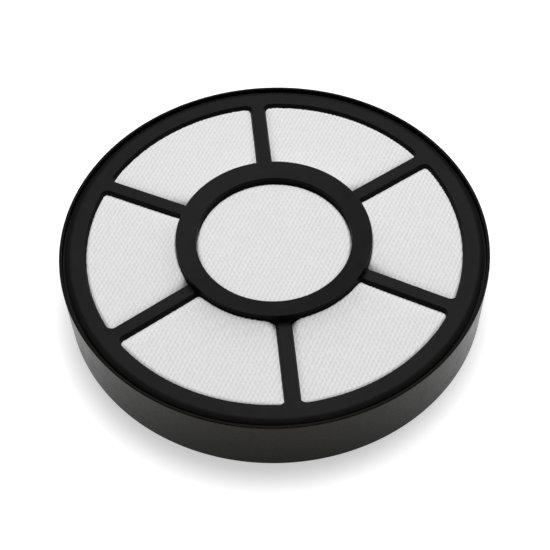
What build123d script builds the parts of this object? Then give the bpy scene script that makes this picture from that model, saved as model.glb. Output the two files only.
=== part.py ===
from build123d import *
from math import radians, tan
import os

# A round filter cartridge from a vacuum cleaner's motor chamber. A drafted plastic
# housing with a spoked floor holds a foam pad, a white fleece lies on the pad, and a
# spoked cover closes the housing and rises to a hub ring in the middle.
# The axis is Z and the foot stands on Z = 0. All sizes are in millimetres.

# Housing: skirt, rim, shelf and floor
skirt_height = 22.4
skirt_draft = 0.8
rim_width = 1.0
rim_chamfer = 0.35
shelf_width = 1.2
foot_width = 3.2
foot_chamfer = 0.3
floor_lift = 0.8
floor_thickness = 1.8

# Spokes, windows and hub, shared by the cover and the floor
spoke_count = 6
first_spoke_angle = 90.0
spoke_width = 4.2
window_diameter = 123.5
window_corner_radius = 2.2
wall_draft_angle = 16.0
hub_outer_diameter = 63.6
hub_inner_diameter = 50.7

# Cover: land, shoulder, shadow gap, flange and raised hub
land_rise = 0.1
land_width = 4.15
cover_thickness = 2.0
dome_rise = 0.7
hub_rise = 3.2
hub_dish = 1.1
hub_edge_chamfer = 0.25
shoulder_width = 2.4
shoulder_drop = 1.1
shadow_gap = 0.7
shadow_gap_depth = 1.8
flange_depth = 4.0
flange_thickness = 1.6
flange_clearance = 0.15

# Filter media
fleece_thickness = 0.6
media_clearance = 0.3

# How far a cutting tool runs past the wall that it cuts
cut_margin = 1.0

# Radii and heights that follow from the sizes above, from the windows out to the rim
window_radius = window_diameter / 2
land_radius = window_radius + land_width
lip_radius = land_radius + shoulder_width
rim_inner_radius = lip_radius + shadow_gap
rim_radius = rim_inner_radius + rim_width
foot_radius = rim_radius - skirt_draft
bore_radius = rim_inner_radius - shelf_width
flange_outer_radius = rim_inner_radius - flange_clearance
flange_inner_radius = flange_outer_radius - flange_thickness
media_radius = flange_inner_radius - media_clearance
hub_outer_radius = hub_outer_diameter / 2
hub_inner_radius = hub_inner_diameter / 2
hub_middle_radius = (hub_outer_radius + hub_inner_radius) / 2

land_height = skirt_height + land_rise
cover_underside = land_height - cover_thickness
hub_underside = cover_underside + dome_rise
hub_top = land_height + dome_rise + hub_rise
seat_height = cover_underside - flange_depth
floor_top = floor_lift + floor_thickness

spoke_pitch = 360 / spoke_count
draft_spread = tan(radians(wall_draft_angle))


def turned(*outline):
    """Solid of revolution about Z from a closed outline of (radius, height) lines."""
    return revolve(Plane.XZ * make_face(outline), Axis.Z)


def window_cutter(face_height, thickness, rise):
    """Opening between two spokes, from the spoke on +X round to the next one.

    It widens towards the face at face_height. That face climbs by rise on the way
    from the window's outer edge to the hub, and the spokes climb with it.
    """
    slope = rise / (window_radius - hub_outer_radius)
    inner_radius = hub_middle_radius - cut_margin
    wide_radius = window_radius + cut_margin * draft_spread
    narrow_radius = window_radius - (thickness + cut_margin) * draft_spread

    def face_at(radius):
        return face_height + (window_radius - radius) * slope

    below = thickness + cut_margin
    section = Polyline(
        (inner_radius, face_at(inner_radius) - below),
        (narrow_radius, face_at(narrow_radius) - below),
        (wide_radius, face_at(wide_radius) + cut_margin),
        (inner_radius, face_at(inner_radius) + cut_margin),
        close=True,
    )
    sector = revolve(Plane.XZ * make_face(section), Axis.Z, spoke_pitch)

    top_reach = 2 * cut_margin
    bottom_reach = thickness + 2 * cut_margin
    half_top = spoke_width / 2 - top_reach * draft_spread
    half_bottom = spoke_width / 2 + bottom_reach * draft_spread
    spoke_section = Polyline(
        (-half_bottom, face_at(0) - bottom_reach),
        (half_bottom, face_at(0) - bottom_reach),
        (half_top, face_at(0) + top_reach),
        (-half_top, face_at(0) + top_reach),
        close=True,
    )
    spoke = extrude(Plane.YZ * make_face(spoke_section), 2 * window_radius, dir=(1, 0, -slope))
    opening = sector - spoke - Rot(Z=spoke_pitch) * spoke

    def at_outer_corner(edge):
        middle = edge.center()
        climb = abs((edge @ 1).Z - (edge @ 0).Z)
        return Vector(middle.X, middle.Y).length > window_radius - window_corner_radius and climb > thickness

    return fillet(opening.edges().filter_by(at_outer_corner), window_corner_radius)


def round_pattern(tool):
    """The tool repeated once for each spoke."""
    return [Rot(Z=first_spoke_angle + spoke_pitch * step) * tool for step in range(spoke_count)]


def make_housing():
    """Skirt with its rim, the shelf that the cover sits on, and the spoked floor."""
    wall = turned(
        Polyline(
            (foot_radius - foot_chamfer, 0),
            (foot_radius, foot_chamfer),
            (rim_radius, skirt_height - rim_chamfer),
            (rim_radius - rim_chamfer, skirt_height),
            (rim_inner_radius, skirt_height),
            (rim_inner_radius, seat_height),
            (bore_radius, seat_height),
            (bore_radius, floor_top),
            (hub_middle_radius, floor_top),
            (hub_middle_radius, floor_lift),
            (foot_radius - foot_width, floor_lift),
            (foot_radius - foot_width, 0),
            close=True,
        )
    )
    opening = mirror(window_cutter(-floor_lift, floor_thickness, 0), Plane.XY)
    hub = turned(
        Polyline(
            (hub_inner_radius, floor_lift),
            (hub_outer_radius, floor_lift),
            (hub_outer_radius, floor_top),
            (hub_inner_radius, floor_top),
            close=True,
        )
    )
    return wall - round_pattern(opening) + hub


def make_cover():
    """Ring with a rounded shoulder and a flange, six spokes and the raised hub."""
    slope = dome_rise / (window_radius - hub_outer_radius)
    spoke_end = (window_radius - hub_middle_radius) * slope
    land_edge = (land_radius, land_height)
    lip_edge = (lip_radius, land_height - shoulder_drop)
    plate = turned(
        Polyline(
            lip_edge,
            (lip_radius, skirt_height - shadow_gap_depth),
            (flange_outer_radius, skirt_height - shadow_gap_depth),
            (flange_outer_radius, seat_height),
            (flange_inner_radius, seat_height),
            (flange_inner_radius, cover_underside),
            (window_radius, cover_underside),
            (hub_middle_radius, cover_underside + spoke_end),
            (hub_middle_radius, land_height + spoke_end),
            (window_radius, land_height),
            land_edge,
        ),
        TangentArc(land_edge, lip_edge, tangent=(1, 0)),
    )
    hub = turned(
        Polyline(
            (hub_inner_radius, hub_underside),
            (hub_outer_radius, hub_underside),
            (hub_outer_radius, hub_top - hub_edge_chamfer),
            (hub_outer_radius - hub_edge_chamfer, hub_top),
            (hub_inner_radius + hub_edge_chamfer, hub_top - hub_dish),
            (hub_inner_radius, hub_top - hub_dish - hub_edge_chamfer),
            close=True,
        )
    )
    opening = window_cutter(land_height, cover_thickness, dome_rise)
    return plate - round_pattern(opening) + hub


def make_fleece():
    """Cloth disc that lies against the underside of the cover."""
    return turned(
        Polyline(
            (0, hub_underside),
            (hub_outer_radius, hub_underside),
            (window_radius, cover_underside),
            (media_radius, cover_underside),
            (media_radius, cover_underside - fleece_thickness),
            (window_radius, cover_underside - fleece_thickness),
            (hub_outer_radius, hub_underside - fleece_thickness),
            (0, hub_underside - fleece_thickness),
            close=True,
        )
    )


def make_foam_pad():
    """Foam disc that fills the housing from its floor to the fleece."""
    return turned(
        Polyline(
            (0, floor_top),
            (media_radius, floor_top),
            (media_radius, cover_underside - fleece_thickness),
            (window_radius, cover_underside - fleece_thickness),
            (hub_outer_radius, hub_underside - fleece_thickness),
            (0, hub_underside - fleece_thickness),
            close=True,
        )
    )


pieces = {
    "housing": make_housing(),
    "foam_pad": make_foam_pad(),
    "fleece_disc": make_fleece(),
    "spoked_cover": make_cover(),
}

os.makedirs("parts", exist_ok=True)
for name, piece in pieces.items():
    export_step(piece, f"parts/{name}.step")
    print(name, "volume", round(piece.volume, 1), "solids", len(piece.solids()))
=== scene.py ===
import math

import bmesh
import bpy
from mathutils import Matrix, Vector


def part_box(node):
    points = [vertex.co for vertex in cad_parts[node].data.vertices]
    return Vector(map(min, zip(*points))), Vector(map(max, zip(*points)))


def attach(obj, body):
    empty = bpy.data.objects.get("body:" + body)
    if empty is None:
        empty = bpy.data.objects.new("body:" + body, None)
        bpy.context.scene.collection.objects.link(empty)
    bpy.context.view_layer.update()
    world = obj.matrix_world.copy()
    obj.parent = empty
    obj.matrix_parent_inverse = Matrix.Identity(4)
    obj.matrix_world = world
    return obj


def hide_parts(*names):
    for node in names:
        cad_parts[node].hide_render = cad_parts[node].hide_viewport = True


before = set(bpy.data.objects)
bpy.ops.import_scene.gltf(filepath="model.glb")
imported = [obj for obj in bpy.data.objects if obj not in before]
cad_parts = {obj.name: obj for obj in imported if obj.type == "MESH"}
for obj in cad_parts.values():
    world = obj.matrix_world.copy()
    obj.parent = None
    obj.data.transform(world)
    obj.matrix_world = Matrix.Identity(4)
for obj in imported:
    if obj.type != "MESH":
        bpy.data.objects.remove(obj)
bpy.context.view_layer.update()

mm = 0.001

# Housing
# The cup of the cartridge, one injection moulding in black polypropylene: a drafted skirt with a thin
# rim, a shelf inside the rim for the cover, and a floor of six spokes that carries the foam.

_, housing_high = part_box("housing")
rim_radius = housing_high.x
rim_width = 1.0 * mm
rim_inner_radius = rim_radius - rim_width
rim_rounding = 0.35 * mm
rim_inner_rounding = 0.12 * mm
skirt_height = housing_high.z
skirt_draft = 0.8 * mm
foot_radius = rim_radius - skirt_draft
foot_width = 3.2 * mm
foot_inner_radius = foot_radius - foot_width
foot_rounding = 0.3 * mm
shelf_width = 1.2 * mm
bore_radius = rim_inner_radius - shelf_width
seat_height = 16.5 * mm
floor_underside = 0.8 * mm
floor_thickness = 1.8 * mm
floor_top = floor_underside + floor_thickness

spoke_count = 6
sector = 2 * math.pi / spoke_count
spoke_width = 4.2 * mm
window_radius = 61.75 * mm
window_corner = 2.2 * mm
wall_draft_angle = math.radians(16)
wall_draft = math.tan(wall_draft_angle)
window_border = 1.2 * mm
land_edge_radius = window_radius + window_border
hub_outer_radius = 31.8 * mm
hub_inner_radius = 25.35 * mm
edge_rounding = 0.16 * mm
# Distance of the extra row of points that keeps the shading of a flat apart from its rounded edge
support = 0.12 * mm


def spread(first, last, steps):
    """Evenly spaced values from first to last, both ends included."""
    return [first + (last - first) * step / steps for step in range(steps + 1)]


def window_edge(half_width, arc_steps=18, corner_steps=5, spoke_steps=14):
    """Plan of a window about +X, as (point, direction into the plastic, distance to the border).

    It runs from the hub along one spoke, round a corner, along the outer arc, round the other corner
    and back along the other spoke. The border is that of the sector's plate. The second value is how
    many points lie on each side of the middle of the arc before the border leaves the ring and turns
    down the middle of a spoke.
    """
    along = Vector((math.cos(sector / 2), math.sin(sector / 2)))
    across = Vector((-along.y, along.x))
    to_side = half_width + window_corner
    centre = along * math.sqrt((window_radius - window_corner) ** 2 - to_side ** 2) - across * to_side
    knee_way = along * land_edge_radius - centre
    arc_end = math.atan2(centre.y, centre.x)
    knee = math.atan2(knee_way.y, knee_way.x)
    corner_end = sector / 2 + math.pi / 2

    half = []
    for angle in spread(0, arc_end, arc_steps)[:-1]:
        way = Vector((math.cos(angle), math.sin(angle)))
        half.append((way * window_radius, way, land_edge_radius - window_radius))
    corner_angles = spread(arc_end, knee, corner_steps) + spread(knee, corner_end, corner_steps)[1:]
    for angle in corner_angles:
        way = Vector((math.cos(angle), math.sin(angle)))
        lean = centre.dot(way)
        to_ring = math.sqrt(lean ** 2 - centre.length_squared + land_edge_radius ** 2) - lean
        to_spoke = to_side / max(way.dot(across), 1e-6)
        half.append((centre + way * window_corner, way, min(to_ring, to_spoke) - window_corner))
    ring_reach = arc_steps + corner_steps
    hub_end = math.sqrt(hub_outer_radius ** 2 - half_width ** 2)
    for reach in spread(centre.dot(along), hub_end, spoke_steps)[1:]:
        half.append((along * reach - across * half_width, across, half_width))

    flip = Vector((1, -1))
    mirrored = [(point * flip, way * flip, border) for point, way, border in reversed(half[1:])]
    return mirrored + half, ring_reach


def rounding(radius, steps=4):
    """(offset, depth) pairs of a quarter round, from the wall up to the face."""
    turns = spread(0, math.pi / 2, steps)
    return [(radius * (1 - math.cos(turn)), radius * (1 - math.sin(turn))) for turn in turns]


def skin(mesh, rows, closed=False):
    """Quads over rows of points. Returns the rows of vertices."""
    grid = [[mesh.verts.new(point) for point in row] for row in rows]
    if closed:
        grid.append(grid[0])
    for low, high in zip(grid, grid[1:]):
        for corners in zip(low, low[1:], high[1:], high):
            mesh.faces.new(corners)
    return grid


def turned_sector(mesh, profile, angles, closed=False):
    """Quads swept round the axis through the angles, from a profile of (radius, height) points."""
    skin(mesh, [[(r * math.cos(a), r * math.sin(a), z) for a in angles] for r, z in profile], closed)


def spoked_plate(mesh, face_height, thickness, rise, ring_profile, facing):
    """One sector of a spoked plate: the plastic round a window, and the ring outside it.

    The face climbs by rise from the window's outer edge to the hub. facing is 1 where the face looks
    up and -1 where it looks down. ring_profile runs from the face out round the ring to the back.
    """
    edge, ring_reach = window_edge(spoke_width / 2)
    slope = rise / (window_radius - hub_outer_radius)
    face_rows = rounding(edge_rounding)
    wall_foot = (-thickness * wall_draft, thickness)
    wall_head = (-(edge_rounding + support) * wall_draft, edge_rounding + support)
    rows = [(None, thickness), wall_foot, wall_head, *face_rows, (edge_rounding + support, 0), (None, 0)]

    def place(point, way, border, offset, depth):
        spot = point + way * (border if offset is None else offset)
        height = face_height + slope * max(window_radius - spot.length, 0)
        return spot.x, spot.y, height - facing * depth

    grid = skin(mesh, [[place(*column, *row) for column in edge] for row in rows])
    mesh.faces.new([row[0] for row in grid])
    mesh.faces.new([row[-1] for row in reversed(grid)])

    middle = len(edge) // 2
    border = [place(*column, None, 0) for column in edge[middle - ring_reach:middle + ring_reach + 1]]
    turned_sector(mesh, ring_profile, [math.atan2(y, x) for x, y, z in border])


def add_node(tree, kind, inputs=None, **settings):
    """Adds a node to a tree. inputs maps a socket's name or number to a value or to another socket."""
    made = tree.nodes.new(kind)
    for name, value in settings.items():
        setattr(made, name, value)
    for key, value in (inputs or {}).items():
        if isinstance(value, bpy.types.NodeSocket):
            tree.links.new(value, made.inputs[key])
        else:
            made.inputs[key].default_value = value
    return made


def calc(tree, operation, *values):
    """Output of a Math node on sockets or numbers."""
    return add_node(tree, "ShaderNodeMath", dict(enumerate(values)), operation=operation).outputs[0]


def new_shape_tree(name, *inputs):
    """Empty Geometry Nodes tree with a geometry in and out, and named inputs of (name, socket type)."""
    tree = bpy.data.node_groups.new(name, "GeometryNodeTree")
    tree.interface.new_socket("Geometry", in_out="INPUT", socket_type="NodeSocketGeometry")
    for label, kind in inputs:
        tree.interface.new_socket(label, in_out="INPUT", socket_type=kind)
    tree.interface.new_socket("Geometry", in_out="OUTPUT", socket_type="NodeSocketGeometry")
    given = tree.nodes.new("NodeGroupInput").outputs
    return tree, given


def apply_tree(piece, tree, **values):
    """Runs a tree on a piece and leaves the result as the piece's own plain mesh."""
    modifier = piece.modifiers.new(tree.name, "NODES")
    modifier.node_group = tree
    for item in tree.interface.items_tree:
        label = item.name.lower().replace(" ", "_")
        if item.in_out == "INPUT" and label in values:
            modifier[item.identifier] = values[label]
    shaped = piece.evaluated_get(bpy.context.evaluated_depsgraph_get())
    mesh = bpy.data.meshes.new_from_object(shaped)
    piece.modifiers.remove(modifier)
    old = piece.data
    piece.data = mesh
    bpy.data.meshes.remove(old)
    mesh.name = piece.name


def new_piece(name, mesh):
    """Object at the origin from a bmesh."""
    data = bpy.data.meshes.new(name)
    mesh.to_mesh(data)
    mesh.free()
    piece = bpy.data.objects.new(name, data)
    bpy.context.scene.collection.objects.link(piece)
    return piece


def face_outwards(piece):
    """Turns every face of a closed, welded mesh outwards."""
    mesh = bmesh.new()
    mesh.from_mesh(piece.data)
    bmesh.ops.recalc_face_normals(mesh, faces=mesh.faces)
    mesh.to_mesh(piece.data)
    mesh.free()


def ring_of_sectors_tree():
    """Copies of a sector round the axis, welded into one mesh with crisp edges kept sharp."""
    tree, given = new_shape_tree(
        "ring_of_sectors",
        ("Copies", "NodeSocketInt"),
        ("Weld Distance", "NodeSocketFloat"),
        ("Sharp Angle", "NodeSocketFloat"),
        ("Material", "NodeSocketMaterial"),
    )
    points = add_node(tree, "GeometryNodePoints", {"Count": given["Copies"]})
    index = tree.nodes.new("GeometryNodeInputIndex").outputs[0]
    turn = calc(tree, "DIVIDE", calc(tree, "MULTIPLY", index, 2 * math.pi), given["Copies"])
    heading = add_node(tree, "ShaderNodeCombineXYZ", {"Z": turn})
    copies = add_node(
        tree,
        "GeometryNodeInstanceOnPoints",
        {"Points": points.outputs[0], "Instance": given["Geometry"], "Rotation": heading.outputs[0]},
    )
    real = add_node(tree, "GeometryNodeRealizeInstances", {"Geometry": copies.outputs[0]})
    welded = add_node(
        tree,
        "GeometryNodeMergeByDistance",
        {"Geometry": real.outputs[0], "Distance": given["Weld Distance"]},
    )
    smooth = add_node(tree, "GeometryNodeSetShadeSmooth", {"Geometry": welded.outputs[0]})
    fold = tree.nodes.new("GeometryNodeInputMeshEdgeAngle").outputs[0]
    crisp = add_node(
        tree,
        "GeometryNodeSetShadeSmooth",
        {
            "Geometry": smooth.outputs[0],
            "Selection": calc(tree, "GREATER_THAN", fold, given["Sharp Angle"]),
            "Shade Smooth": False,
        },
        domain="EDGE",
    )
    painted = add_node(
        tree, "GeometryNodeSetMaterial", {"Geometry": crisp.outputs[0], "Material": given["Material"]}
    )
    add_node(tree, "NodeGroupOutput", {"Geometry": painted.outputs[0]})
    return tree


def moulded_plastic(name, dark, light, tint, painted_shade_wall_shine, face_shine, gloss, dull, grain_size):
    """Black moulded plastic: a fine sparked grain, slow drifts of tone and gloss from the flow, and less
    shine on upright walls than on the faces, a painted shade that darkens the walls."""
    material = bpy.data.materials.new(name)
    material.use_nodes = True
    tree = material.node_tree
    shader = tree.nodes["Principled BSDF"]
    shader.inputs["Specular Tint"].default_value = (*tint, 1)
    place = tree.nodes.new("ShaderNodeTexCoord").outputs["Object"]
    normal = add_node(
        tree, "ShaderNodeSeparateXYZ", {0: tree.nodes.new("ShaderNodeNewGeometry").outputs["Normal"]}
    ).outputs
    # Less shine on upright walls than on faces: painted shade that darkens the walls
    shine_with_painted_wall_shade = add_node(
        tree,
        "ShaderNodeMapRange",
        {
            "Value": calc(tree, "ABSOLUTE", normal["Z"]),
            "From Min": 0.4,
            "From Max": 0.9,
            "To Min": painted_shade_wall_shine,
            "To Max": face_shine,
        },
    )
    tree.links.new(shine_with_painted_wall_shade.outputs[0], shader.inputs["Specular IOR Level"])
    flow = add_node(tree, "ShaderNodeTexNoise", {"Vector": place, "Scale": 55.0, "Detail": 3.0})
    tone = add_node(tree, "ShaderNodeValToRGB", {"Fac": flow.outputs["Fac"]})
    tone.color_ramp.elements[0].position = 0.3
    tone.color_ramp.elements[0].color = (*dark, 1)
    tone.color_ramp.elements[1].position = 0.7
    tone.color_ramp.elements[1].color = (*light, 1)
    tree.links.new(tone.outputs["Color"], shader.inputs["Base Color"])
    rub = add_node(tree, "ShaderNodeTexNoise", {"Vector": place, "Scale": 260.0, "Detail": 5.0})
    sheen = add_node(
        tree,
        "ShaderNodeMapRange",
        {"Value": rub.outputs["Fac"], "From Min": 0.3, "From Max": 0.7, "To Min": gloss, "To Max": dull},
    )
    tree.links.new(sheen.outputs[0], shader.inputs["Roughness"])
    grain = add_node(
        tree,
        "ShaderNodeTexNoise",
        {"Vector": place, "Scale": 1 / grain_size, "Detail": 4.0, "Roughness": 0.6},
    )
    relief = add_node(
        tree,
        "ShaderNodeBump",
        {"Height": grain.outputs["Fac"], "Distance": 0.04 * grain_size, "Strength": 0.6},
    )
    tree.links.new(relief.outputs["Normal"], shader.inputs["Normal"])
    return material


def rounded_corner(turns, centre, radius):
    """Points of an arc in a profile, from one angle to another."""
    return [(centre[0] + radius * math.cos(turn), centre[1] + radius * math.sin(turn)) for turn in turns]


quarter = math.pi / 2
skirt_profile = [
    (land_edge_radius, floor_underside),
    (foot_inner_radius - support, floor_underside),
    (foot_inner_radius, floor_underside),
    (foot_inner_radius, 0),
    *rounded_corner(
        spread(-quarter, 0, 4), (foot_radius - foot_rounding, foot_rounding), foot_rounding
    ),
    (foot_radius, foot_rounding + support),
    (rim_radius, skirt_height - rim_rounding - support),
    *rounded_corner(
        spread(0, quarter, 5), (rim_radius - rim_rounding, skirt_height - rim_rounding), rim_rounding
    ),
    *rounded_corner(
        spread(quarter, 2 * quarter, 3),
        (rim_inner_radius + rim_inner_rounding, skirt_height - rim_inner_rounding),
        rim_inner_rounding,
    ),
    (rim_inner_radius, seat_height),
    (bore_radius, seat_height),
    (bore_radius, floor_top),
    (land_edge_radius, floor_top),
]
floor_hub_profile = [
    (hub_inner_radius, floor_top),
    (hub_outer_radius, floor_top),
    (hub_outer_radius, floor_underside + edge_rounding),
    (hub_outer_radius - edge_rounding, floor_underside),
    (hub_inner_radius + edge_rounding, floor_underside),
    (hub_inner_radius, floor_underside + edge_rounding),
]
sector_angles = spread(-sector / 2, sector / 2, 40)

housing_mesh = bmesh.new()
spoked_plate(housing_mesh, floor_underside, floor_thickness, 0, skirt_profile, -1)
turned_sector(housing_mesh, floor_hub_profile, sector_angles, closed=True)
housing = new_piece("housing_moulding", housing_mesh)
# The warm tint of the housing's colours and shine is a painted reflection of warm light off the floor
housing_black = moulded_plastic(
    "housing_black",
    dark=(0.0052, 0.0047, 0.0040),
    light=(0.0066, 0.0060, 0.0052),
    tint=(1.0, 0.92, 0.8),
    painted_shade_wall_shine=0.08,
    face_shine=0.1,
    gloss=0.22,
    dull=0.3,
    grain_size=0.35 * mm,
)
ring_of_sectors = ring_of_sectors_tree()
weld_distance = 0.002 * mm
sharp_angle = math.radians(38)
apply_tree(
    housing,
    ring_of_sectors,
    copies=spoke_count,
    weld_distance=weld_distance,
    sharp_angle=sharp_angle,
    material=housing_black,
)
face_outwards(housing)
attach(housing, "root")
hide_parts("housing")

# Foam pad
# Die-cut disc of dark open-cell polyurethane foam. It lies on the floor's spokes, swells a little
# through the floor's windows, and pushes the cloth up against the cover.

_, foam_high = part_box("foam_pad")
media_radius = foam_high.x
fleece_thickness = 0.6 * mm
hub_underside = 21.2 * mm
ring_underside = 20.5 * mm
foam_rounding = 0.8 * mm
foam_swell = 0.7 * mm
foam_softness = 3.0 * mm
foam_unevenness = 0.12 * mm
foam_lump_size = 4.0 * mm
foam_cell_size = 0.9 * mm
foam_middle = 1.0 * mm
foam_rings = 64
foam_columns = 288


def swell_tree():
    """Pushes a soft face out through the windows of a spoked plate and through its hub."""
    tree, given = new_shape_tree(
        "swell_through_windows",
        ("Spokes", "NodeSocketInt"),
        ("Spoke Width", "NodeSocketFloat"),
        ("Window Radius", "NodeSocketFloat"),
        ("Hub Outer Radius", "NodeSocketFloat"),
        ("Hub Inner Radius", "NodeSocketFloat"),
        ("Outer Swell", "NodeSocketFloat"),
        ("Inner Swell", "NodeSocketFloat"),
        ("Hub Swell", "NodeSocketFloat"),
        ("Rise Curve", "NodeSocketFloat"),
        ("Softness", "NodeSocketFloat"),
        ("Edge Softness", "NodeSocketFloat"),
        ("Hub Softness", "NodeSocketFloat"),
        ("Unevenness", "NodeSocketFloat"),
        ("Unevenness Size", "NodeSocketFloat"),
        ("Face Up", "NodeSocketFloat"),
        ("Material", "NodeSocketMaterial"),
    )
    place = tree.nodes.new("GeometryNodeInputPosition").outputs[0]
    plan = add_node(tree, "ShaderNodeSeparateXYZ", {0: place}).outputs
    angle = calc(tree, "ARCTAN2", plan["Y"], plan["X"])
    radius = calc(
        tree,
        "SQRT",
        calc(tree, "ADD", calc(tree, "POWER", plan["X"], 2), calc(tree, "POWER", plan["Y"], 2)),
    )
    pitch = calc(tree, "DIVIDE", 2 * math.pi, given["Spokes"])
    from_spoke = calc(
        tree,
        "SUBTRACT",
        calc(tree, "FLOORED_MODULO", angle, pitch),
        calc(tree, "MULTIPLY", pitch, 0.5),
    )
    aside = calc(
        tree,
        "SUBTRACT",
        calc(tree, "MULTIPLY", radius, calc(tree, "ABSOLUTE", calc(tree, "SINE", from_spoke))),
        calc(tree, "MULTIPLY", given["Spoke Width"], 0.5),
    )
    to_ring = calc(tree, "SUBTRACT", given["Window Radius"], radius)
    to_hub = calc(tree, "SUBTRACT", radius, given["Hub Outer Radius"])
    hub_room = calc(tree, "SUBTRACT", given["Hub Inner Radius"], radius)

    def share(distance, softness):
        """How far the face is free at a distance inside an opening's edge, from 0 to 1."""
        reach = calc(tree, "DIVIDE", calc(tree, "MAXIMUM", distance, 0), softness)
        return calc(tree, "SUBTRACT", 1, calc(tree, "EXPONENT", calc(tree, "MULTIPLY", reach, -1)))

    between_rings = calc(
        tree, "MULTIPLY", share(to_ring, given["Edge Softness"]), share(to_hub, given["Edge Softness"])
    )
    in_window = calc(tree, "MULTIPLY", share(aside, given["Softness"]), between_rings)
    in_hub = share(hub_room, given["Hub Softness"])

    nearness = add_node(
        tree,
        "ShaderNodeMapRange",
        {"Value": radius, "From Min": given["Window Radius"], "From Max": given["Hub Outer Radius"]},
    ).outputs[0]
    window_swell = add_node(
        tree,
        "ShaderNodeMapRange",
        {
            "Value": calc(tree, "POWER", nearness, given["Rise Curve"]),
            "To Min": given["Outer Swell"],
            "To Max": given["Inner Swell"],
        },
    ).outputs[0]
    lift = calc(
        tree,
        "ADD",
        calc(tree, "MULTIPLY", in_window, window_swell),
        calc(tree, "MULTIPLY", in_hub, given["Hub Swell"]),
    )
    lumps = add_node(
        tree,
        "ShaderNodeTexNoise",
        {"Vector": place, "Scale": calc(tree, "DIVIDE", 1, given["Unevenness Size"]), "Detail": 2.0},
    )
    uneven = calc(
        tree,
        "MULTIPLY",
        calc(tree, "SUBTRACT", lumps.outputs[0], 0.5),
        given["Unevenness"],
    )
    opened = calc(tree, "ADD", in_window, in_hub)
    rise = calc(
        tree,
        "MULTIPLY",
        calc(tree, "ADD", lift, calc(tree, "MULTIPLY", uneven, opened)),
        given["Face Up"],
    )
    normal = add_node(
        tree, "ShaderNodeSeparateXYZ", {0: tree.nodes.new("GeometryNodeInputNormal").outputs[0]}
    ).outputs
    facing = calc(tree, "GREATER_THAN", calc(tree, "MULTIPLY", normal["Z"], given["Face Up"]), 0.5)
    moved = add_node(
        tree,
        "GeometryNodeSetPosition",
        {
            "Geometry": given["Geometry"],
            "Selection": facing,
            "Offset": add_node(tree, "ShaderNodeCombineXYZ", {"Z": rise}).outputs[0],
        },
    )
    smooth = add_node(tree, "GeometryNodeSetShadeSmooth", {"Geometry": moved.outputs[0]})
    real = add_node(tree, "GeometryNodeRealizeInstances", {"Geometry": smooth.outputs[0]})
    painted = add_node(
        tree, "GeometryNodeSetMaterial", {"Geometry": real.outputs[0], "Material": given["Material"]}
    )
    add_node(tree, "NodeGroupOutput", {"Geometry": painted.outputs[0]})
    return tree


def open_cell_foam(name, pore_painted_shade, skeleton, cell_size):
    """Dark open-cell foam: a web of thin struts round deep pores of mixed sizes, whose darker colour is
    painted shade.
    """
    material = bpy.data.materials.new(name)
    material.use_nodes = True
    tree = material.node_tree
    shader = tree.nodes["Principled BSDF"]
    shader.inputs["Roughness"].default_value = 0.9
    shader.inputs["Specular IOR Level"].default_value = 0.2
    place = tree.nodes.new("ShaderNodeTexCoord").outputs["Object"]
    cells = add_node(
        tree,
        "ShaderNodeTexVoronoi",
        {"Vector": place, "Scale": 1 / cell_size, "Randomness": 0.9},
        feature="DISTANCE_TO_EDGE",
    )
    # Pores coloured darker than the struts: painted shade inside the pores
    web = add_node(tree, "ShaderNodeValToRGB", {"Fac": cells.outputs["Distance"]})
    web.color_ramp.elements[0].position = 0.04
    web.color_ramp.elements[0].color = (*skeleton, 1)
    web.color_ramp.elements[1].position = 0.22
    web.color_ramp.elements[1].color = (*pore_painted_shade, 1)
    tree.links.new(web.outputs["Color"], shader.inputs["Base Color"])
    relief = add_node(
        tree,
        "ShaderNodeBump",
        {"Height": cells.outputs["Distance"], "Distance": 0.5 * cell_size, "Strength": 0.9},
        invert=True,
    )
    tree.links.new(relief.outputs["Normal"], shader.inputs["Normal"])
    return material


foam_profile = [
    (0, floor_top),
    *[
        (radius, floor_top)
        for radius in spread(foam_middle, media_radius - foam_rounding - support, foam_rings)
    ],
    *rounded_corner(
        spread(-quarter, 0, 4), (media_radius - foam_rounding, floor_top + foam_rounding), foam_rounding
    ),
    (media_radius, ring_underside - fleece_thickness),
    (window_radius, ring_underside - fleece_thickness),
    (hub_outer_radius, hub_underside - fleece_thickness),
    (0, hub_underside - fleece_thickness),
]
foam_mesh = bmesh.new()
turned_sector(foam_mesh, foam_profile, spread(0, 2 * math.pi, foam_columns))
bmesh.ops.remove_doubles(foam_mesh, verts=foam_mesh.verts, dist=weld_distance)
bmesh.ops.dissolve_degenerate(foam_mesh, edges=foam_mesh.edges, dist=weld_distance)
bmesh.ops.recalc_face_normals(foam_mesh, faces=foam_mesh.faces)
foam = new_piece("foam_pad_soft", foam_mesh)
dark_foam = open_cell_foam(
    "dark_foam",
    pore_painted_shade=(0.006, 0.006, 0.0065),
    skeleton=(0.05, 0.05, 0.052),
    cell_size=foam_cell_size,
)
swell = swell_tree()
apply_tree(
    foam,
    swell,
    spokes=spoke_count,
    spoke_width=spoke_width + 2 * floor_thickness * wall_draft,
    window_radius=window_radius - floor_thickness * wall_draft,
    hub_outer_radius=hub_outer_radius,
    hub_inner_radius=hub_inner_radius,
    outer_swell=foam_swell,
    inner_swell=foam_swell,
    hub_swell=foam_swell,
    rise_curve=1.0,
    softness=foam_softness,
    edge_softness=foam_softness,
    hub_softness=foam_softness,
    unevenness=foam_unevenness,
    unevenness_size=foam_lump_size,
    face_up=-1.0,
    material=dark_foam,
)
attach(foam, "root")
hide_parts("foam_pad")

# Fleece
# Disc of white spunbond nonwoven, bonded by a staggered pattern of small hot-pressed dots. It is laid
# on the foam, held down by the cover's spokes and hub, and stands up in every window, most of all
# beside the hub.

cover_thickness = 2.0 * mm
bond_pitch_x = 1.47 * mm
bond_pitch_y = 1.52 * mm
bond_tightness = 1.4
bond_slant = 0.57
bond_depth = 0.18 * mm
pattern_turn = math.radians(-3)
steps_per_pitch_x = 4
steps_per_pitch_y = 3
spare_steps = 3


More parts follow.
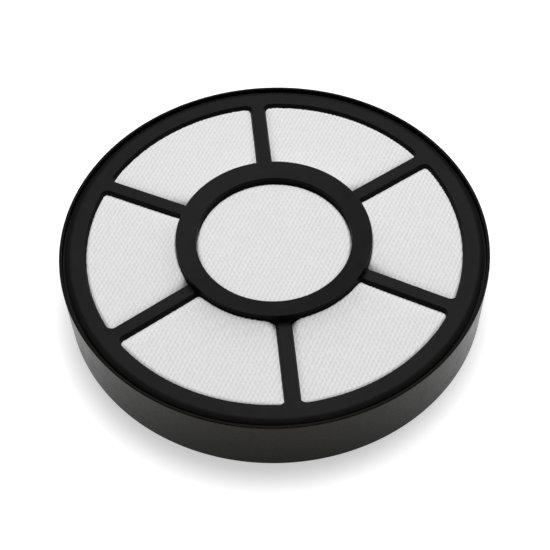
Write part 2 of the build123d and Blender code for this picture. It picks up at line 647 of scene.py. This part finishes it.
def bonded_cloth_tree():
    """Round cloth with a staggered lattice of pressed dots, laid over the dome of the foam."""
    tree, given = new_shape_tree(
        "bonded_cloth",
        ("Radius", "NodeSocketFloat"),
        ("Pitch X", "NodeSocketFloat"),
        ("Pitch Y", "NodeSocketFloat"),
        ("Grid Width", "NodeSocketFloat"),
        ("Grid Length", "NodeSocketFloat"),
        ("Columns", "NodeSocketInt"),
        ("Rows", "NodeSocketInt"),
        ("Bond Tightness", "NodeSocketFloat"),
        ("Bond Slant", "NodeSocketFloat"),
        ("Bond Depth", "NodeSocketFloat"),
        ("Turn", "NodeSocketFloat"),
        ("Dome Radius", "NodeSocketFloat"),
        ("Dome Height", "NodeSocketFloat"),
        ("Edge Radius", "NodeSocketFloat"),
        ("Edge Height", "NodeSocketFloat"),
        ("Thickness", "NodeSocketFloat"),
        ("Material", "NodeSocketMaterial"),
    )
    grid = add_node(
        tree,
        "GeometryNodeMeshGrid",
        {
            "Size X": given["Grid Width"],
            "Size Y": given["Grid Length"],
            "Vertices X": given["Columns"],
            "Vertices Y": given["Rows"],
        },
    )
    flat = add_node(
        tree, "ShaderNodeSeparateXYZ", {0: tree.nodes.new("GeometryNodeInputPosition").outputs[0]}
    ).outputs
    across = calc(tree, "DIVIDE", calc(tree, "MULTIPLY", flat["X"], 2 * math.pi), given["Pitch X"])
    along = calc(tree, "DIVIDE", calc(tree, "MULTIPLY", flat["Y"], math.pi), given["Pitch Y"])
    falling = calc(tree, "COSINE", calc(tree, "SUBTRACT", across, along))
    rising = calc(tree, "COSINE", calc(tree, "ADD", across, along))
    rising_share = calc(tree, "MULTIPLY", rising, calc(tree, "SUBTRACT", 1, given["Bond Slant"]))
    wave = calc(tree, "MULTIPLY_ADD", falling, given["Bond Slant"], rising_share)
    bond = calc(tree, "POWER", calc(tree, "MULTIPLY_ADD", wave, 0.5, 0.5), given["Bond Tightness"])
    marked = add_node(
        tree,
        "GeometryNodeStoreNamedAttribute",
        {"Geometry": grid.outputs["Mesh"], "Name": "bond", "Value": bond},
        data_type="FLOAT",
        domain="POINT",
    )
    turned = add_node(
        tree,
        "ShaderNodeVectorRotate",
        {"Vector": tree.nodes.new("GeometryNodeInputPosition").outputs[0], "Angle": given["Turn"]},
        rotation_type="Z_AXIS",
    )
    aligned = add_node(
        tree, "GeometryNodeSetPosition", {"Geometry": marked.outputs[0], "Position": turned.outputs[0]}
    )
    place = tree.nodes.new("GeometryNodeInputPosition").outputs[0]
    radius = add_node(tree, "ShaderNodeVectorMath", {0: place}, operation="LENGTH").outputs["Value"]
    spare = calc(tree, "MULTIPLY", given["Pitch X"], 0.3)
    outside = calc(tree, "GREATER_THAN", radius, calc(tree, "ADD", given["Radius"], spare))
    disc = add_node(
        tree,
        "GeometryNodeDeleteGeometry",
        {"Geometry": aligned.outputs[0], "Selection": outside},
        domain="POINT",
    )
    kept = calc(tree, "MINIMUM", calc(tree, "DIVIDE", given["Radius"], radius), 1)
    trimmed = add_node(tree, "ShaderNodeVectorMath", {0: place, "Scale": kept}, operation="SCALE")
    spot = add_node(tree, "ShaderNodeSeparateXYZ", {0: trimmed.outputs[0]}).outputs
    dome = add_node(
        tree,
        "ShaderNodeMapRange",
        {
            "Value": radius,
            "From Min": given["Dome Radius"],
            "From Max": given["Edge Radius"],
            "To Min": given["Dome Height"],
            "To Max": given["Edge Height"],
        },
    ).outputs[0]
    pressed = add_node(
        tree, "GeometryNodeInputNamedAttribute", {"Name": "bond"}, data_type="FLOAT"
    ).outputs[0]
    height = calc(tree, "SUBTRACT", dome, calc(tree, "MULTIPLY", pressed, given["Bond Depth"]))
    laid = add_node(
        tree,
        "GeometryNodeSetPosition",
        {
            "Geometry": disc.outputs[0],
            "Position": add_node(
                tree, "ShaderNodeCombineXYZ", {"X": spot["X"], "Y": spot["Y"], "Z": height}
            ).outputs[0],
        },
    )
    neighbours = tree.nodes.new("GeometryNodeInputMeshEdgeNeighbors").outputs[0]
    cut_edge = add_node(
        tree,
        "GeometryNodeExtrudeMesh",
        {
            "Mesh": laid.outputs[0],
            "Selection": calc(tree, "LESS_THAN", neighbours, 1.5),
            "Offset": (0, 0, -1),
            "Offset Scale": given["Thickness"],
        },
        mode="EDGES",
    )
    real = add_node(tree, "GeometryNodeRealizeInstances", {"Geometry": cut_edge.outputs["Mesh"]})
    painted = add_node(
        tree, "GeometryNodeSetMaterial", {"Geometry": real.outputs[0], "Material": given["Material"]}
    )
    add_node(tree, "NodeGroupOutput", {"Geometry": painted.outputs[0]})
    return tree


def bonded_fleece(name, fibre, bonded, fibre_size, fibre_wander):
    """White spunbond: matt crossed fibres, greyer and glossier where a dot is pressed, some dots more
    firmly than others."""
    material = bpy.data.materials.new(name)
    material.use_nodes = True
    tree = material.node_tree
    shader = tree.nodes["Principled BSDF"]
    shader.inputs["Specular IOR Level"].default_value = 0.25
    place = tree.nodes.new("ShaderNodeTexCoord").outputs["Object"]
    dots = add_node(tree, "ShaderNodeAttribute", attribute_name="bond").outputs["Fac"]
    heat = add_node(tree, "ShaderNodeTexNoise", {"Vector": place, "Scale": 1400.0, "Detail": 2.0})
    firmness = add_node(
        tree,
        "ShaderNodeMapRange",
        {
            "Value": heat.outputs["Fac"],
            "From Min": 0.35,
            "From Max": 0.65,
            "To Min": 0.55,
            "To Max": 1.3,
        },
    ).outputs[0]
    bond = calc(tree, "MULTIPLY", dots, firmness)
    wander = add_node(tree, "ShaderNodeTexNoise", {"Vector": place, "Scale": 420.0, "Detail": 3.0})
    bent = add_node(
        tree,
        "ShaderNodeVectorMath",
        {0: wander.outputs["Color"], 1: (fibre_wander, fibre_wander, fibre_wander), 2: place},
        operation="MULTIPLY_ADD",
    ).outputs[0]

    def strands(turn):
        """Noise drawn out along one direction of the fibres."""
        laid = add_node(
            tree,
            "ShaderNodeMapping",
            {"Vector": bent, "Rotation": (0, 0, turn), "Scale": (1, 0.12, 1)},
        )
        return add_node(
            tree,
            "ShaderNodeTexNoise",
            {"Vector": laid.outputs[0], "Scale": 1 / fibre_size, "Detail": 2.0},
        ).outputs["Fac"]

    fibres = calc(tree, "MAXIMUM", strands(math.radians(35)), strands(math.radians(-40)))
    shade = add_node(
        tree,
        "ShaderNodeMapRange",
        {"Value": fibres, "From Min": 0.4, "From Max": 0.7, "To Min": 0.65, "To Max": 0.0},
    ).outputs[0]
    mixed = add_node(
        tree,
        "ShaderNodeMix",
        {"Factor": calc(tree, "ADD", bond, shade)},
        data_type="RGBA",
        clamp_factor=True,
    )
    # Sockets 6 and 7 of a Mix node are its two colours, and output 2 is the mixed one
    mixed.inputs[6].default_value = (*fibre, 1)
    mixed.inputs[7].default_value = (*bonded, 1)
    tree.links.new(mixed.outputs[2], shader.inputs["Base Color"])
    gloss = add_node(
        tree, "ShaderNodeMapRange", {"Value": bond, "To Min": 0.95, "To Max": 0.6}
    ).outputs[0]
    tree.links.new(gloss, shader.inputs["Roughness"])
    relief = add_node(
        tree, "ShaderNodeBump", {"Height": fibres, "Distance": 0.05 * mm, "Strength": 0.7}
    )
    tree.links.new(relief.outputs["Normal"], shader.inputs["Normal"])
    return material


column_step = bond_pitch_x / steps_per_pitch_x
row_step = bond_pitch_y / steps_per_pitch_y
half_columns = math.ceil(media_radius / column_step) + spare_steps
half_rows = math.ceil(media_radius / row_step) + spare_steps
fleece_white = bonded_fleece(
    "white_fleece",
    fibre=(0.89, 0.89, 0.89),
    bonded=(0.65, 0.65, 0.65),
    fibre_size=0.16 * mm,
    fibre_wander=1.2 * mm,
)
fleece = new_piece("fleece_cloth", bmesh.new())
apply_tree(
    fleece,
    bonded_cloth_tree(),
    radius=media_radius,
    pitch_x=bond_pitch_x,
    pitch_y=bond_pitch_y,
    grid_width=2 * half_columns * column_step,
    grid_length=2 * half_rows * row_step,
    columns=2 * half_columns + 1,
    rows=2 * half_rows + 1,
    bond_tightness=bond_tightness,
    bond_slant=bond_slant,
    bond_depth=bond_depth,
    turn=pattern_turn,
    dome_radius=hub_outer_radius,
    dome_height=hub_underside,
    edge_radius=window_radius,
    edge_height=ring_underside,
    thickness=fleece_thickness,
    material=fleece_white,
)
apply_tree(
    fleece,
    swell,
    spokes=spoke_count,
    spoke_width=spoke_width + 2 * cover_thickness * wall_draft,
    window_radius=window_radius - cover_thickness * wall_draft,
    hub_outer_radius=hub_outer_radius,
    hub_inner_radius=hub_inner_radius,
    outer_swell=1.0 * mm,
    inner_swell=3.5 * mm,
    hub_swell=1.9 * mm,
    rise_curve=6.0,
    softness=1.2 * mm,
    edge_softness=0.15 * mm,
    hub_softness=0.4 * mm,
    unevenness=0.12 * mm,
    unevenness_size=7.0 * mm,
    face_up=1.0,
    material=fleece_white,
)
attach(fleece, "root")
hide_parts("fleece_disc")

# Spoked cover
# One injection moulding in black polypropylene, pushed into the rim and welded to its shelf: a flat
# land with a rounded shoulder, a dark gap to the rim, six drafted spokes, and a raised hub dished
# inwards.

_, cover_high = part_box("spoked_cover")
hub_top = cover_high.z
flange_outer_radius = cover_high.x
flange_thickness = 1.6 * mm
flange_inner_radius = flange_outer_radius - flange_thickness
land_height = 22.5 * mm
dome_rise = 0.7 * mm
shadow_gap = 0.7 * mm
shadow_gap_depth = 1.8 * mm
gap_floor = skirt_height - shadow_gap_depth
lip_radius = rim_inner_radius - shadow_gap
lip_rounding = 0.15 * mm
shoulder_width = 2.4 * mm
shoulder_drop = 1.1 * mm
hub_dish = 1.1 * mm
sink_depth = 0.14 * mm
sink_length = 1.6 * mm
sink_radius = 28.7 * mm

shoulder_round = (shoulder_width ** 2 + shoulder_drop ** 2) / (2 * shoulder_drop)
shoulder_turn = math.asin(shoulder_width / shoulder_round)
shoulder = rounded_corner(
    spread(quarter, quarter - shoulder_turn, 10),
    (lip_radius - shoulder_width, land_height - shoulder_round),
    shoulder_round,
)
ring_profile = [
    (land_edge_radius, land_height),
    (lip_radius - shoulder_width - support, land_height),
    *shoulder[:-1],
    *rounded_corner(
        spread(quarter - shoulder_turn, 0, 4),
        (lip_radius - lip_rounding, shoulder[-1][1] - lip_rounding),
        lip_rounding,
    ),
    (lip_radius, gap_floor),
    (flange_outer_radius, gap_floor),
    (flange_outer_radius, seat_height),
    (flange_inner_radius, seat_height),
    (flange_inner_radius, ring_underside),
    (land_edge_radius, ring_underside),
]
hub_inner_top = hub_top - hub_dish
dish_start = hub_outer_radius - edge_rounding
dish_end = hub_inner_radius + edge_rounding
dish_slope = hub_dish / (dish_start - dish_end)
hub_profile = [
    (hub_inner_radius, hub_underside),
    (hub_outer_radius, hub_underside),
    (hub_outer_radius, hub_top - edge_rounding - support),
    *rounded_corner(
        spread(0, quarter, 4), (hub_outer_radius - edge_rounding, hub_top - edge_rounding), edge_rounding
    ),
    *[
        (radius, hub_top - dish_slope * (dish_start - radius))
        for radius in spread(dish_start - support, dish_end + support, 14)
    ],
    *rounded_corner(
        spread(quarter, 2 * quarter, 4),
        (hub_inner_radius + edge_rounding, hub_inner_top - edge_rounding),
        edge_rounding,
    ),
    (hub_inner_radius, hub_inner_top - edge_rounding - support),
]

cover_mesh = bmesh.new()
spoked_plate(cover_mesh, land_height, cover_thickness, dome_rise, ring_profile, 1)
turned_sector(cover_mesh, hub_profile, sector_angles, closed=True)
# Sink marks, where the top of the hub cooled last over the root of each spoke
for vert in cover_mesh.verts:
    plan = vert.co.to_2d()
    off_spoke = plan.length * math.sin(sector / 2 - abs(math.atan2(plan.y, plan.x)))
    off_mark = math.hypot(off_spoke, plan.length - sink_radius) / sink_length
    if vert.co.z > hub_inner_top:
        vert.co.z -= sink_depth * math.exp(-off_mark ** 2)
cover = new_piece("spoked_cover_moulding", cover_mesh)
cover_black = moulded_plastic(
    "cover_black",
    dark=(0.0072, 0.0072, 0.0073),
    light=(0.0088, 0.0088, 0.0089),
    tint=(1.0, 1.0, 1.0),
    painted_shade_wall_shine=0.02,
    face_shine=0.15,
    gloss=0.28,
    dull=0.38,
    grain_size=0.3 * mm,
)
apply_tree(
    cover,
    ring_of_sectors,
    copies=spoke_count,
    weld_distance=weld_distance,
    sharp_angle=sharp_angle,
    material=cover_black,
)
face_outwards(cover)
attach(cover, "root")
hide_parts("spoked_cover")

# Studio
# White ground lit by a broad softbox above and behind, with a weak fill overhead, in a dim room with a
# pale panel high up behind. The lamps don't show in the plastic, and the panel gives it its soft
# sheen. The camera itself sees the room as white.

ground_size = 6.0
ground_glow = 0.53
ground_colour = (0.75, 0.75, 0.75, 1)
panel_direction = (0.13, 0.5, 0.86)
lamps = [
    ("softbox", 1.3, 29.8, Vector((0.15, 0.56, 1.72))),
    ("fill", 1.2, 1.5, Vector((0, 0, 1.3))),
]

ground_mesh = bmesh.new()
bmesh.ops.create_grid(ground_mesh, x_segments=1, y_segments=1, size=ground_size)
ground = new_piece("ground", ground_mesh)
ground_white = bpy.data.materials.new("ground_white")
ground_white.use_nodes = True
ground_tree = ground_white.node_tree
ground_tree.nodes.clear()
seen = ground_tree.nodes.new("ShaderNodeLightPath").outputs
seen_directly = calc(
    ground_tree,
    "MAXIMUM",
    seen["Is Camera Ray"],
    calc(ground_tree, "MAXIMUM", seen["Is Glossy Ray"], seen["Is Transmission Ray"]),
)
paper = add_node(ground_tree, "ShaderNodeBsdfDiffuse", {"Color": ground_colour})
glow = calc(ground_tree, "MULTIPLY", seen_directly, ground_glow)
lightbox = add_node(ground_tree, "ShaderNodeEmission", {"Strength": glow})
both = add_node(ground_tree, "ShaderNodeAddShader", {0: paper.outputs[0], 1: lightbox.outputs[0]})
add_node(ground_tree, "ShaderNodeOutputMaterial", {"Surface": both.outputs[0]})
ground.data.materials.append(ground_white)

for name, size, power, spot in lamps:
    light = bpy.data.lights.new(name, "AREA")
    light.shape = "DISK"
    light.size = size
    light.energy = power
    lamp = bpy.data.objects.new(name, light)
    lamp.location = spot
    lamp.rotation_euler = spot.to_track_quat("Z", "Y").to_euler()
    lamp.visible_glossy = False
    bpy.context.scene.collection.objects.link(lamp)

room = bpy.data.worlds.new("room")
room.use_nodes = True
bpy.context.scene.world = room
room_tree = room.node_tree
room_tree.nodes.clear()
towards_panel = add_node(
    room_tree,
    "ShaderNodeVectorMath",
    {0: room_tree.nodes.new("ShaderNodeTexCoord").outputs["Generated"], 1: panel_direction},
    operation="DOT_PRODUCT",
).outputs["Value"]
panel = add_node(
    room_tree,
    "ShaderNodeMapRange",
    {"Value": towards_panel, "From Min": 0.83, "From Max": 0.985, "To Min": 0.06, "To Max": 1.1},
    interpolation_type="SMOOTHSTEP",
).outputs[0]
room_seen = room_tree.nodes.new("ShaderNodeLightPath").outputs["Is Camera Ray"]
strength = add_node(
    room_tree, "ShaderNodeMix", {"Factor": room_seen, "A": panel, "B": 1.0}, data_type="FLOAT"
)
dome_light = add_node(room_tree, "ShaderNodeBackground", {"Strength": strength.outputs[0]})
add_node(room_tree, "ShaderNodeOutputWorld", {"Surface": dome_light.outputs[0]})

# Camera
# About half a metre away, looking down steeply, with a short telephoto lens.

camera_data = bpy.data.cameras.new("camera")
camera_data.sensor_width = 36
camera_data.lens = 98.49
camera_data.clip_start = 0.01
camera = bpy.data.objects.new("camera", camera_data)
bpy.context.scene.collection.objects.link(camera)
bpy.context.scene.camera = camera
camera_pitch = 0.9283
camera_roll = -0.0284
camera_azimuth = math.radians(-4.15)
camera_reach = 301.79 * mm
camera_height = 408.31 * mm
camera.matrix_world = (
    Matrix.Rotation(camera_azimuth, 4, "Z")
    @ Matrix.Translation((0, -camera_reach, camera_height))
    @ Matrix.Rotation(math.pi / 2 - camera_pitch, 4, "X")
    @ Matrix.Rotation(camera_roll, 4, "Z")
)

bpy.context.scene.view_settings.view_transform = "Standard"
